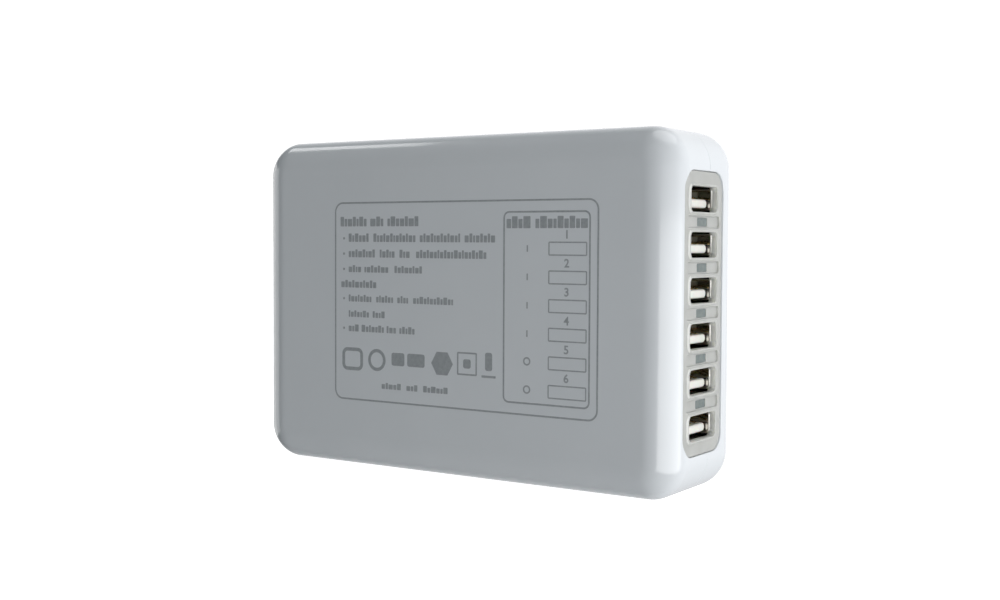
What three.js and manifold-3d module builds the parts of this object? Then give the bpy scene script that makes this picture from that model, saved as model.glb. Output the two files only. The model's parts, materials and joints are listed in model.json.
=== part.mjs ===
// A six-socket USB desk charger that stands on its long narrow edge.
// Millimetres, +Z up. The origin is the middle of the underside. The printed face looks along -Y,
// the socket face along +X and the mains inlet along -X.
import * as THREE from "three";
import { mergeVertices } from "three/addons/utils/BufferGeometryUtils.js";
import Module from "manifold-3d";

const wasm = await Module();
wasm.setup();

// ---- Driving dimensions ----

const WIDTH = 109;
const DEPTH = 31;
const HEIGHT = 75;
const CORNER = 8; // radius of the four corners, seen square on to the printed face
const FRONT_ROUND = 6; // radius that runs round the printed face
const BACK_ROUND = 7.5; // radius that runs round the back face
const WALL = 2.2;
const GAP = 0.3; // between neighbouring pieces
const MIDDLE = HEIGHT / 2;
const HALF_WIDTH = WIDTH / 2;

const CORNER_STEPS = 6; // facets of a quarter circle at the covers' corners
const EDGE_STEPS = 5; // facets across the rounding of a cover's edge
const ROUND_STEPS = 18; // facets of a full circle on small round pieces
const POST_STEPS = 12; // facets of a full circle on posts and small holes

const LIP_THICK = 0.9; // the back cover's lip, which slides inside the front cover's wall
const LIP_REACH = 1.5;

const SOCKETS = 6;
const SOCKET_PITCH = 9.2;
const END_Y = -2.2; // middle of the panel, the sockets and the light pipes
const SHELL = { wide: 13.1, high: 5.7, wall: 0.35, corner: 0.6, front: 53.15, back: 40.8 };
const TONGUE = { wide: 11.2, thick: 1.84, corner: 0.7, front: 52.3, drop: 0.94 };
const CARRIER = { wide: 11.8, high: 4.4, front: 44.4 };

const PANEL = { wide: 18, high: 57.3, corner: 4, front: 54.2, back: 49.6 };
const PANEL_FLANGE = { proud: 0.8, front: 51.2 };
const PANEL_HOLE_PLAY = 0.15;
const GROOVE = { wide: 15.4, high: 2.5, corner: 0.8, floor: 53.8 }; // across the panel, between sockets
const PIPE = { wide: 4.8, high: 1.65, corner: 0.25, front: 53.7, back: 42 };
const LED = { wide: 3.2, high: 1.6, thick: 0.8 };

const BOARD_THICK = 1.6;
const MAIN_BOARD = { left: -50, right: 37, bottom: 5, top: 70, y: -9.4, corner: 4 };
const USB_BOARD = { front: 40.5, left: -12.2, right: 8.4, bottom: 6.5, top: 68.5, corner: 1 };
const SHEET = { left: -47, right: 36, bottom: 8, top: 67, y: -12.6, thick: 0.4, corner: 3 };

const POST_X = [-44, 32];
const POST_Z = [11, 64];
const POST = { radius: 2.2, pinRadius: 1, pinReach: 3.2, pillarRadius: 2.8, holeRadius: 1.3 };

const RIB = { thick: 1.2, reach: 2, deep: 5 }; // ribs that hold the socket board's ends

const INLET = { y: -3.8, wide: 18.4, high: 10, front: -54.3, back: -37.5 };
const INLET_FLANGE = { proud: 0.9, from: -51.9, to: -50.4 };
const INLET_LOBE = 4.1; // radius of each half of the figure-eight cavity
const INLET_WAIST = 6.2;
const INLET_DEEP = 12.5;
const PIN = { radius: 1.2, spread: 8.6, front: -52.5, back: -35, play: 0.15 };

// ---- Making and joining solids ----

function toSolid(geometry) {
  const bare = geometry.clone();
  bare.deleteAttribute("normal");
  bare.deleteAttribute("uv");
  const merged = mergeVertices(bare, 1e-4);
  const vertProperties = new Float32Array(merged.attributes.position.array);
  const triVerts = new Uint32Array(merged.index.array);
  return new wasm.Manifold(new wasm.Mesh({ numProp: 3, vertProperties, triVerts }));
}

function toGeometry(solid) {
  const { vertProperties, triVerts } = solid.getMesh();
  return new THREE.BufferGeometry()
    .setAttribute("position", new THREE.BufferAttribute(vertProperties, 3))
    .setIndex(new THREE.BufferAttribute(triVerts, 1));
}

function combine(first, joined, removed) {
  let solid = toSolid(first);
  for (const geometry of joined) solid = solid.add(toSolid(geometry));
  for (const geometry of removed) solid = solid.subtract(toSolid(geometry));
  return toGeometry(solid);
}

function keepInside(geometry, room) {
  return toGeometry(toSolid(geometry).intersect(toSolid(room)));
}

// ---- Plain shapes ----

function roundedRect(wide, high, corner) {
  const x = wide / 2 - corner;
  const y = high / 2 - corner;
  return new THREE.Shape()
    .absarc(x, -y, corner, -Math.PI / 2, 0)
    .absarc(x, y, corner, 0, Math.PI / 2)
    .absarc(-x, y, corner, Math.PI / 2, Math.PI)
    .absarc(-x, -y, corner, Math.PI, 1.5 * Math.PI);
}

function prism(shape, from, to, steps = 4) {
  const options = { depth: to - from, bevelEnabled: false, curveSegments: steps };
  return new THREE.ExtrudeGeometry(shape, options).translate(0, 0, from);
}

function boxFrom(low, high) {
  const size = high.map((value, i) => value - low[i]);
  const centre = high.map((value, i) => (value + low[i]) / 2);
  return new THREE.BoxGeometry(...size).translate(...centre);
}

function rod(radius, from, to, steps = ROUND_STEPS) {
  return new THREE.CylinderGeometry(radius, radius, to - from, steps)
    .rotateX(Math.PI / 2)
    .translate(0, 0, (from + to) / 2);
}

function lathe(outline) {
  const points = outline.map(([radius, z]) => new THREE.Vector2(radius, z));
  return new THREE.LatheGeometry(points, ROUND_STEPS).rotateX(Math.PI / 2);
}

// A shape drawn with x along Y and y along Z, pushed out along X.
const ALONG_X = new THREE.Matrix4().makeBasis(
  new THREE.Vector3(0, 1, 0),
  new THREE.Vector3(0, 0, 1),
  new THREE.Vector3(1, 0, 0),
);

function alongX(geometry, y, z) {
  return geometry.applyMatrix4(ALONG_X).translate(0, y, z);
}

// A shape drawn with x along X and y along Z, between two depths.
function alongY(shape, from, to, x, z, steps = 4) {
  return prism(shape, -to, -from, steps).rotateX(Math.PI / 2).translate(x, 0, z);
}

function rodAlongY(radius, from, to, x, z) {
  return rod(radius, from, to, POST_STEPS).rotateX(-Math.PI / 2).translate(x, 0, z);
}

// ---- Materials ----

function plastic(color, roughness) {
  return new THREE.MeshStandardMaterial({ color, roughness, metalness: 0 });
}

function metal(color, roughness) {
  return new THREE.MeshStandardMaterial({ color, roughness, metalness: 1 });
}

const look = {
  case: () => plastic(0xe9ebec, 0.18),
  panel: () => plastic(0xc3c5bf, 0.35),
  shell: () => metal(0xd0d0cc, 0.25),
  tongue: () => plastic(0xf2f2ee, 0.4),
  smoked: () => plastic(0x5c6866, 0.3),
  led: () => plastic(0xf0e9b8, 0.3),
  board: () => plastic(0x2f6b43, 0.5),
  sheet: () => plastic(0xd8dcd8, 0.5),
  black: () => plastic(0x1b1b1c, 0.45),
  pin: () => metal(0xd6d3c8, 0.2),
  aluminium: () => metal(0xb9bcbe, 0.4),
  ferrite: () => plastic(0x3a3a3c, 0.7),
  copper: () => metal(0xb0662e, 0.35),
  tape: () => plastic(0xe3c33c, 0.5),
  sleeve: () => plastic(0x20242c, 0.4),
  yellowBox: () => plastic(0xd9b53a, 0.45),
  blueDisc: () => plastic(0x2f63a8, 0.4),
  steel: () => metal(0xa9abad, 0.35),
};

function piece(name, geometry, material) {
  const mesh = new THREE.Mesh(geometry, material);
  mesh.name = name;
  return mesh;
}

// ---- The two covers ----

// The charger's outer form moved in by inset on every side.
function bodyForm(inset, round) {
  const shape = roundedRect(WIDTH - 2 * inset, HEIGHT - 2 * inset, CORNER - inset);
  const edge = round - inset;
  const straight = DEPTH - 2 * round;
  const options = {
    depth: straight,
    bevelThickness: edge,
    bevelSize: edge,
    bevelOffset: -edge,
    bevelSegments: EDGE_STEPS,
    curveSegments: CORNER_STEPS,
  };
  return new THREE.ExtrudeGeometry(shape, options)
    .translate(0, 0, -straight / 2)
    .rotateX(Math.PI / 2)
    .translate(0, 0, MIDDLE);
}

function hoop(outerInset, innerInset, from, to) {
  const slab = (inset, low, high) => {
    const shape = roundedRect(WIDTH - 2 * inset, HEIGHT - 2 * inset, CORNER - inset);
    return alongY(shape, low, high, 0, MIDDLE, CORNER_STEPS);
  };
  return combine(slab(outerInset, from, to), [], [slab(innerInset, from - 1, to + 1)]);
}

function panelWindow() {
  const shape = roundedRect(PANEL.wide, PANEL.high, PANEL.corner);
  const cut = prism(shape, HALF_WIDTH - 2 * WALL, HALF_WIDTH + 1, 6);
  return alongX(cut, END_Y, MIDDLE);
}

function inletCutOut() {
  const wide = INLET.high + 2 * GAP;
  const high = INLET.wide + 2 * GAP;
  const cut = prism(roundedRect(wide, high, wide / 2 - 0.01), -HALF_WIDTH - 1, 2 * WALL - HALF_WIDTH, 6);
  return alongX(cut, INLET.y, MIDDLE);
}

function hollowHalf(round, from, to) {
  const half = boxFrom([-WIDTH, from, -HEIGHT], [WIDTH, to, 2 * HEIGHT]);
  return combine(keepInside(bodyForm(0, round), half), [], [bodyForm(WALL, round)]);
}

function atPosts(make) {
  return POST_X.flatMap((x) => POST_Z.map((z) => make(x, z)));
}

const BOARD_UNDERSIDE = MAIN_BOARD.y - BOARD_THICK;
const INSIDE = DEPTH / 2 - WALL; // from the middle plane to the inside of either face

// Two ribs at each end of the socket board, grown from the front cover (side -1) or the back one (1).
function boardRibs(side, round) {
  const room = bodyForm(WALL / 2, round);
  const face = side * (INSIDE + 1);
  const tip = side * (INSIDE - RIB.deep);
  const before = USB_BOARD.front - BOARD_THICK - GAP - RIB.thick;
  const behind = USB_BOARD.front + GAP;
  const ends = [
    [0, USB_BOARD.bottom + RIB.reach],
    [USB_BOARD.top - RIB.reach, HEIGHT],
  ];
  const rib = (x, low, high) =>
    boxFrom([x, Math.min(face, tip), low], [x + RIB.thick, Math.max(face, tip), high]);
  return [before, behind].flatMap((x) =>
    ends.map(([low, high]) => keepInside(rib(x, low, high), room)),
  );
}

function frontCover() {
  const lipRoom = hoop(WALL - LIP_THICK - GAP, WALL + 1, -LIP_REACH - GAP, 0);
  const posts = atPosts((x, z) => rodAlongY(POST.radius, -INSIDE - 1, BOARD_UNDERSIDE - GAP, x, z));
  const pinTop = BOARD_UNDERSIDE + POST.pinReach;
  const pins = atPosts((x, z) => rodAlongY(POST.pinRadius, -INSIDE - 1, pinTop, x, z));
  const shell = hollowHalf(FRONT_ROUND, -DEPTH, -GAP / 2);
  const ribs = boardRibs(-1, FRONT_ROUND);
  return combine(shell, [...posts, ...pins, ...ribs], [lipRoom, panelWindow(), inletCutOut()]);
}

function backCover() {
  const lip = hoop(WALL - LIP_THICK, WALL, -LIP_REACH, WALL);
  const pillarEnd = MAIN_BOARD.y + GAP;
  const holeEnd = pillarEnd + POST.pinReach;
  const pillars = atPosts((x, z) => rodAlongY(POST.pillarRadius, pillarEnd, INSIDE + 1, x, z));
  const holes = atPosts((x, z) => rodAlongY(POST.holeRadius, pillarEnd - 1, holeEnd, x, z));
  const shell = hollowHalf(BACK_ROUND, GAP / 2, DEPTH);
  const ribs = boardRibs(1, BACK_ROUND);
  return combine(shell, [lip, ...pillars, ...ribs], [...holes, panelWindow(), inletCutOut()]);
}

// ---- The socket end ----

const socketHeights = Array.from(
  { length: SOCKETS },
  (_, i) => MIDDLE + SOCKET_PITCH * ((SOCKETS - 1) / 2 - i),
);
const pipeHeights = socketHeights.slice(1).map((z) => z + SOCKET_PITCH / 2);

function socketPanel() {
  const grow = 2 * PANEL_FLANGE.proud;
  const play = 2 * PANEL_HOLE_PLAY;
  const face = roundedRect(PANEL.wide - play, PANEL.high - play, PANEL.corner - PANEL_HOLE_PLAY);
  const flange = roundedRect(PANEL.wide + grow, PANEL.high + grow, PANEL.corner + PANEL_FLANGE.proud);
  const socketHole = roundedRect(SHELL.wide + play, SHELL.high + play, SHELL.corner);
  const pipeHole = roundedRect(PIPE.wide + play, PIPE.high + play, PIPE.corner);
  const groove = roundedRect(GROOVE.wide, GROOVE.high, GROOVE.corner);
  const cut = (shape, from, z) => alongX(prism(shape, from, PANEL.front + 1, 2), END_Y, z);
  return combine(
    alongX(prism(face, PANEL.back, PANEL.front, 6), END_Y, MIDDLE),
    [alongX(prism(flange, PANEL.back, PANEL_FLANGE.front, 6), END_Y, MIDDLE)],
    [
      ...socketHeights.map((z) => cut(socketHole, PANEL.back - 1, z)),
      ...pipeHeights.map((z) => cut(pipeHole, PANEL.back - 1, z)),
      ...pipeHeights.map((z) => cut(groove, GROOVE.floor, z)),
    ],
  );
}

function socketShell() {
  const { wide, high, wall, corner, front, back } = SHELL;
  const outer = prism(roundedRect(wide, high, corner), back, front, 3);
  const inner = roundedRect(wide - 2 * wall, high - 2 * wall, corner - wall);
  return combine(outer, [], [prism(inner, back - 1, front + 1, 3)]).applyMatrix4(ALONG_X);
}

// The plastic block at the back of a socket, with the tongue that carries the four contacts.
function socketCarrier() {
  const back = SHELL.back + GAP;
  const block = boxFrom(
    [-CARRIER.wide / 2, -CARRIER.high / 2, back],
    [CARRIER.wide / 2, CARRIER.high / 2, CARRIER.front],
  );
  const tongue = prism(roundedRect(TONGUE.wide, TONGUE.thick, TONGUE.corner), back, TONGUE.front, 3);
  return combine(block, [tongue.translate(0, -TONGUE.drop, 0)], []).applyMatrix4(ALONG_X);
}

function lightPipe() {
  const section = roundedRect(PIPE.wide, PIPE.high, PIPE.corner);
  return prism(section, PIPE.back, PIPE.front, 2).applyMatrix4(ALONG_X);
}

function led() {
  const base = USB_BOARD.front + GAP;
  const chip = boxFrom([-LED.wide / 2, -LED.high / 2, base], [LED.wide / 2, LED.high / 2, base + LED.thick]);
  return chip.applyMatrix4(ALONG_X);
}

function usbBoard() {
  const { front, left, right, bottom, top, corner } = USB_BOARD;
  const outline = roundedRect(right - left, top - bottom, corner);
  return alongX(prism(outline, front - BOARD_THICK, front), (left + right) / 2, (bottom + top) / 2);
}

function addSockets(group) {
  socketHeights.forEach((z, i) => {
    const shell = piece(`usb_shell_${i + 1}`, socketShell(), look.shell());
    const carrier = piece(`usb_insulator_${i + 1}`, socketCarrier(), look.tongue());
    shell.position.set(0, END_Y, z);
    carrier.position.set(0, END_Y, z);
    group.add(shell, carrier);
  });
  pipeHeights.forEach((z, i) => {
    const pipe = piece(`light_pipe_${i + 1}`, lightPipe(), look.smoked());
    const chip = piece(`led_${i + 1}`, led(), look.led());
    pipe.position.set(0, END_Y, z);
    chip.position.set(0, END_Y, z);
    group.add(pipe, chip);
  });
}

// ---- The mains inlet ----

function inletHousing() {
  const stadium = (wide, high) => roundedRect(wide, high, wide / 2 - 0.01);
  const grow = 2 * INLET_FLANGE.proud;
  const lobe = (side) => {
    const cut = rod(INLET_LOBE, INLET.front - 1, INLET.front + INLET_DEEP);
    return cut.translate(0, (side * PIN.spread) / 2, 0);
  };
  const waist = boxFrom(
    [-INLET_WAIST / 2, -PIN.spread / 2, INLET.front - 1],
    [INLET_WAIST / 2, PIN.spread / 2, INLET.front + INLET_DEEP],
  );
  const pinHole = (side) => {
    const cut = rod(PIN.radius + PIN.play, INLET.front, INLET.back + 1);
    return cut.translate(0, (side * PIN.spread) / 2, 0);
  };
  const body = prism(stadium(INLET.high, INLET.wide), INLET.front, INLET.back, 6);
  const flangeShape = stadium(INLET.high + grow, INLET.wide + grow);
  const flange = prism(flangeShape, INLET_FLANGE.from, INLET_FLANGE.to, 6);
  const cuts = [lobe(1), lobe(-1), waist, pinHole(1), pinHole(-1)];
  return alongX(combine(body, [flange], cuts), INLET.y, MIDDLE);
}

function inletPin() {
  const { radius, front, back } = PIN;
  const outline = [
    [0, back],
    [radius, back],
    [radius, front + radius],
    [radius * 0.7, front + radius * 0.3],
    [0, front],
  ];
  return lathe(outline.reverse()).applyMatrix4(ALONG_X);
}

function addInlet(group) {
  group.add(piece("inlet_housing", inletHousing(), look.black()));
  [1, -1].forEach((side, i) => {
    const pin = piece(`inlet_pin_${i + 1}`, inletPin(), look.pin());
    pin.position.set(0, INLET.y, MIDDLE + (side * PIN.spread) / 2);
    group.add(pin);
  });
}

// ---- The boards and the sheet under them ----

function sheetWithHoles(outline, y, thick, holeRadius) {
  const { left, right, bottom, top, corner } = outline;
  const shape = roundedRect(right - left, top - bottom, corner);
  const slab = alongY(shape, y - thick, y, (left + right) / 2, (bottom + top) / 2);
  return combine(slab, [], atPosts((x, z) => rodAlongY(holeRadius, y - thick - 1, y + 1, x, z)));
}

// ---- Parts soldered to the main board ----
// Each is drawn standing on z = 0. The board's group turns z to +Y.

function block(wide, long, tall) {
  return boxFrom([-wide / 2, -long / 2, 0], [wide / 2, long / 2, tall]);
}

const CAN_CRIMP = { from: 1.2, middle: 1.8, to: 2.4, share: 0.9 };
const CAN_EDGE = 0.6;

// An electrolytic can with its crimped neck.
function capacitorCan(radius, tall) {
  return lathe([
    [0, 0],
    [radius, 0],
    [radius, CAN_CRIMP.from],
    [radius * CAN_CRIMP.share, CAN_CRIMP.middle],
    [radius, CAN_CRIMP.to],
    [radius, tall - CAN_EDGE],
    [radius - CAN_EDGE, tall],
    [0, tall],
  ]);
}

function dumbbell(radius, waist, tall, cheek) {
  return lathe([
    [0, 0],
    [radius, 0],
    [radius, cheek],
    [waist, cheek],
    [waist, tall - cheek],
    [radius, tall - cheek],
    [radius, tall],
    [0, tall],
  ]);
}

function ring(inner, outer, from, to) {
  return lathe([
    [inner, from],
    [outer, from],
    [outer, to],
    [inner, to],
    [inner, from],
  ]);
}

function disc(radius, thick) {
  return rod(radius, -thick / 2, thick / 2).rotateX(Math.PI / 2).translate(0, 0, radius);
}

const DEVICE = { wide: 10, thick: 4.2, low: 3, high: 12 };
const TAB = { thick: 1.3, low: 11, high: 18, hole: 1.9, screwHeight: 15 };
const HEATSINK = { wide: 16, thick: 2, tall: 20, foot: 8 };
const SCREW = { head: 2.8, headThick: 1.8, shank: 1.5, reach: 3.4 };

function atScrewHeight(geometry) {
  return geometry.rotateX(-Math.PI / 2).translate(0, 0, TAB.screwHeight);
}

// A power transistor's body with its metal tab, flat against a heatsink.
function tabPackage() {
  const half = DEVICE.wide / 2;
  const body = boxFrom([-half, 0, DEVICE.low], [half, DEVICE.thick, DEVICE.high]);
  const tab = boxFrom([-half, 0, TAB.low], [half, TAB.thick, TAB.high]);
  const hole = atScrewHeight(rod(TAB.hole, -1, DEVICE.thick + 1, POST_STEPS));
  return combine(body, [tab], [hole]);
}

function heatsink() {
  const { wide, thick, tall, foot } = HEATSINK;
  const plate = boxFrom([-wide / 2, -thick - GAP, 0], [wide / 2, -GAP, tall]);
  const base = boxFrom([-wide / 2, -foot, 0], [wide / 2, -thick, thick]);
  const hole = atScrewHeight(rod(TAB.hole, -2 * thick, 1, POST_STEPS));
  return combine(plate, [base], [hole]);
}

function tabScrew() {
  const under = TAB.thick + GAP;
  const head = rod(SCREW.head, under, under + SCREW.headThick, POST_STEPS);
  const shank = rod(SCREW.shank, -SCREW.reach, under + 1, POST_STEPS);
  return atScrewHeight(combine(head, [shank], []));
}

const CORE = { wide: 20, long: 6, tall: 18, leg: 3.4, centre: 5.4 };
const BOBBIN = { wall: 0.8, cheek: 1, reach: 2.6, wound: 1.2 };

function transformerCore() {
  const { wide, long, tall, leg, centre } = CORE;
  const windowWide = (wide - 2 * leg - centre) / 2;
  const windowAt = (side) => {
    const x = (side * (centre + windowWide)) / 2;
    return boxFrom([x - windowWide / 2, -long, leg], [x + windowWide / 2, long, tall - leg]);
  };
  return combine(block(wide, long, tall), [], [windowAt(1), windowAt(-1)]);
}

// A square tube round the core's middle leg, clear of it by play, between two levels.
function sleeve(play, thick, from, to) {
  const wide = CORE.centre + 2 * play;
  const long = CORE.long + 2 * play;
  const outer = block(wide + 2 * thick, long + 2 * thick, to - from);
  const inner = block(wide, long, to - from + 2).translate(0, 0, -1);
  return combine(outer, [], [inner]).translate(0, 0, from);
}

function transformerBobbin() {
  const low = CORE.leg + GAP;
  const high = CORE.tall - low;
  const cheek = (from) => sleeve(GAP, BOBBIN.reach, from, from + BOBBIN.cheek);
  return combine(sleeve(GAP, BOBBIN.wall, low, high), [cheek(low), cheek(high - BOBBIN.cheek)], []);
}

function transformerWinding() {
  const low = CORE.leg + BOBBIN.cheek + 2 * GAP;
  return sleeve(BOBBIN.wall + 2 * GAP, BOBBIN.wound, low, CORE.tall - low);
}

const HEADER = { wide: 3, long: 40, tall: 2.5, pitch: 5, pin: 0.8, reach: 3.6 };

// A row of square pins that runs sideways into the socket board.
function pinHeader() {
  const { wide, long, tall, pitch, pin, reach } = HEADER;
  const pins = Array.from({ length: long / pitch }, (_, i) => {
    const y = (i + 0.5) * pitch - long / 2;
    return boxFrom([0, y - pin / 2, 1], [reach, y + pin / 2, 1 + pin]);
  });
  return combine(block(wide, long, tall), pins, []);
}

// Name, geometry, material, and place on the board: x, and height above the underside.
function boardParts() {
  const winding = () => ring(3.8, 5.6, 2.6, 11.4);
  return [
    ["fuse", rod(4.2, 0, 8), look.black(), -30, 50],
    ["x_capacitor", block(8, 18, 14), look.yellowBox(), -30, 22],
    ["line_choke_core", dumbbell(6, 3.4, 14, 2.2), look.ferrite(), -16, 17],
    ["line_choke_winding", winding(), look.copper(), -16, 17],
    ["bridge_rectifier", block(4, 15, 11), look.black(), -20, 50],
    ["bulk_capacitor_1", capacitorCan(6.3, 19), look.sleeve(), -6, 61],
    ["bulk_capacitor_2", capacitorCan(6.3, 19), look.sleeve(), -6, 46],
    ["transformer_core", transformerCore(), look.ferrite(), 6, 30],
    ["transformer_bobbin", transformerBobbin(), look.black(), 6, 30],
    ["transformer_winding", transformerWinding(), look.tape(), 6, 30],
    ["y_capacitor", disc(4, 3), look.blueDisc(), -3, 14],
    ["optocoupler", block(4.6, 6.4, 3.4), look.black(), 6, 14],
    ["controller_chip", block(9.4, 6.4, 3.4), look.black(), 10, 60],
    ["output_capacitor_1", capacitorCan(5, 16), look.sleeve(), 27, 51],
    ["output_capacitor_2", capacitorCan(5, 16), look.sleeve(), 27, 39.5],
    ["output_choke_core", dumbbell(5, 2.8, 13, 2), look.ferrite(), 27, 28],
    ["output_choke_winding", ring(3.2, 4.7, 2.4, 10.6), look.copper(), 27, 28],
  ];
}

function heatsinkParts(prefix, device, x, z) {
  return [
    [device, tabPackage(), look.black(), x, z],
    [`${prefix}_heatsink`, heatsink(), look.aluminium(), x, z],
    [`${prefix}_heatsink_screw`, tabScrew(), look.steel(), x, z],
  ];
}

function addBoardParts(group) {
  const board = new THREE.Group();
  board.rotation.x = -Math.PI / 2;
  board.position.y = MAIN_BOARD.y + GAP;
  const parts = [
    ...boardParts(),
    ...heatsinkParts("primary", "switching_transistor", 10, 48),
    ...heatsinkParts("output", "output_rectifier", 20, 14),
    ["board_header", pinHeader(), look.black(), 35, MIDDLE],
  ];
  for (const [name, geometry, material, x, z] of parts) {
    const mesh = piece(name, geometry, material);
    mesh.position.set(x, -z, 0);
    board.add(mesh);
  }
  group.add(board);
}

// ---- The charger ----

const charger = new THREE.Group();
charger.add(
  piece("front_cover", frontCover(), look.case()),
  piece("back_cover", backCover(), look.case()),
  piece("socket_panel", socketPanel(), look.panel()),
  piece("main_board", sheetWithHoles(MAIN_BOARD, MAIN_BOARD.y, BOARD_THICK, POST.holeRadius), look.board()),
  piece("usb_board", usbBoard(), look.board()),
  piece("insulation_sheet", sheetWithHoles(SHEET, SHEET.y + SHEET.thick, SHEET.thick, 2.8), look.sheet()),
);
addSockets(charger);
addInlet(charger);
addBoardParts(charger);

export default charger;
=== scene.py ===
"""A six-socket USB desk charger, standing on its long edge on a pale floor.

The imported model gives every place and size. What shows is rebuilt here as fine meshes in the same places.
Lengths are in metres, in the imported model's frame: +Z up, printed face towards -Y, sockets towards +X.
"""
import json
import math

import bmesh
import bpy
from mathutils import Matrix, Vector


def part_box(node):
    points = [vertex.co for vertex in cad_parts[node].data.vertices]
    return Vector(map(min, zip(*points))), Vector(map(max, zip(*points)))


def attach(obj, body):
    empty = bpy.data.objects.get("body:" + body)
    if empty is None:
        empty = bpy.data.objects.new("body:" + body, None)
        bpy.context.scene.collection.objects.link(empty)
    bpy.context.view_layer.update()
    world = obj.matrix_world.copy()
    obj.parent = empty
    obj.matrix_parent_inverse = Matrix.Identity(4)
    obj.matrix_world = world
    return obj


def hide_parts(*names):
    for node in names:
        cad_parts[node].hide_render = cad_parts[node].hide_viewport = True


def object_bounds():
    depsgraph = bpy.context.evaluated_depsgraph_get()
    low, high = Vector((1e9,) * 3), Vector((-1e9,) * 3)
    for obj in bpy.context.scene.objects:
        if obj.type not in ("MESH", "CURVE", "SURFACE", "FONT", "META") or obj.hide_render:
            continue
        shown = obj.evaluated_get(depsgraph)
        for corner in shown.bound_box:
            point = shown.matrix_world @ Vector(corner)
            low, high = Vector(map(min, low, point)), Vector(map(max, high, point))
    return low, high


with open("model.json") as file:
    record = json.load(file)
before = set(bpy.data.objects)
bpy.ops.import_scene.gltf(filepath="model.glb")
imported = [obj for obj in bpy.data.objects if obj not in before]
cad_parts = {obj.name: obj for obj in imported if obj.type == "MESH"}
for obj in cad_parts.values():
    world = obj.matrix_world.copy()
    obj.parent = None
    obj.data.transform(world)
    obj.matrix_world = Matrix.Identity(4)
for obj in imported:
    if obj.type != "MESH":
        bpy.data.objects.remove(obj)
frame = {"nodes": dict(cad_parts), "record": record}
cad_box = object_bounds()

MM = 0.001

# ---- The case ----
LOW, HIGH = (Vector(corner) for corner in cad_box)
WIDTH, DEPTH, HEIGHT = HIGH - LOW
MIDDLE_Z = HEIGHT / 2
CORNER = 8 * MM
FRONT_ROUND = 6 * MM
FRONT_SPREAD = 7.3 * MM  # the front rounding runs out this far on to the printed face
BACK_ROUND = 7.5 * MM
WALL = 2.2 * MM
SEAM = 0.025 * MM  # half of the gap that shows at the parting line
SEAM_ROUND = 0.07 * MM
LIP_THICK = 0.9 * MM  # the back cover's lip, which slides inside the front cover's wall
LIP_REACH = 1.5 * MM
LIP_PLAY = 0.3 * MM
RIM_ROUND = 0.22 * MM  # rounding of the case's edge at the panel and at the inlet
WINDOW_PLAY = 0.035 * MM  # the gap between that edge and the panel or the inlet
CORNER_STEPS = 20
EDGE_STEPS = 14
SOFT_EDGE = 0.12 * MM  # the bevel on the CAD nodes that stay in view
SHARP_ANGLE = 32  # degrees between two faces from which their edge counts as sharp
SMALL_SHARP = 40  # the same, on small pieces with few faces to a curve

# ---- The socket end ----
SOCKETS = range(1, 7)
PIPES = range(1, 6)
PANEL_FLANGE = 0.8 * MM  # how far the panel reaches behind the case's wall
FLANGE_FRONT = 51.2 * MM  # where that flange's front stands, from the middle of the case
PANEL_CORNER = 3.85 * MM
PANEL_ROUND = 0.28 * MM
HOLE_PLAY = 0.12 * MM  # clearance round a socket's shell
HOLE_ROUND = 0.2 * MM
HOLE_LAP = 0.27 * MM  # how far the panel's face laps over a socket's rim
HOLE_GAP = 0.05 * MM  # between a socket's mouth and the back of that lap
HOLE_CORNER = 1.1 * MM
BEAD_WIDE = 0.5 * MM  # the low rim moulded round each socket's hole, above and below it
BEAD_SIDE = 2.3  # how many times wider the rim is at the hole's two ends
BEAD_PROUD = 0.17 * MM  # how far that rim stands off the panel
WALL_FACING = 0.7  # a face of the panel that looks less than this along X is a wall
GROOVE_WIDE = 15.4 * MM
GROOVE_TALL = 2.4 * MM
GROOVE_CORNER = 0.8 * MM
GROOVE_DEEP = 0.4 * MM
GROOVE_ROUND = 0.18 * MM
PIPE_PLAY = 0.1 * MM
PIPE_CORNER = 0.3 * MM
SHELL_WALL = 0.3 * MM
SHELL_LIP = 0.14 * MM  # thickness left at the flared mouth
SHELL_FLARE = 0.4 * MM  # depth of the flare
SHELL_CORNER = 1.25 * MM
SHELL_CORNER_LEAST = 0.2 * MM
SHELL_SHARP = 50
SPRING_TALL = 1.6 * MM
SPRING_THICK = 0.14 * MM
SPRING_SPAN = (3.2 * MM, 0.38 * MM)  # from the socket's mouth to the spring's two ends
SPRING_BOW = 0.26 * MM
SPRING_CREST = 0.84  # where along the spring it stands out most
SPRING_STEPS = 20
TONGUE_WIDE = 11.2 * MM
TONGUE_THICK = 1.84 * MM
TONGUE_CORNER = 0.88 * MM
TONGUE_ROUND = 0.45 * MM
TONGUE_DROP = 0.8 * MM  # from the middle of the socket down to the middle of the tongue
CARRIER_DEEP = 3.3 * MM
CARRIER_CORNER = 0.3 * MM
CONTACT_OFFSETS = (-3.5 * MM, -1 * MM, 1 * MM, 3.5 * MM)
CONTACT_WIDE = 1 * MM
CONTACT_THICK = 0.18 * MM
CONTACT_ROOT = 0.2 * MM  # how far a contact starts inside the carrier's block
CONTACT_SHORT = 1.1 * MM  # how far behind the tongue's end it stops
CONTACT_BOW = 0.45 * MM  # how far it springs up off the tongue
CONTACT_CREST = 0.72  # where along the contact it springs up most
CONTACT_SPREAD = 0.16  # how gently it does so, as a share of its length
CONTACT_TUCK = 0.1 * MM  # how far its end dips into the tip
CONTACT_END = 0.95
CONTACT_STEPS = 14
STRIP_CORNER = 0.06 * MM  # rounding of the springs' and the contacts' edges

# ---- The camera: where the photographer stood ----
CAMERA_PLACE = (0.1623, -0.2420, 0.0518)
CAMERA_YAW = math.radians(33.48)
CAMERA_PITCH = math.radians(-2.29)
CAMERA_ROLL = math.radians(0.25)
LENS = 46.3
SHIFT = (0.0052, -0.0070)


# ======== Mesh helpers ========

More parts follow.
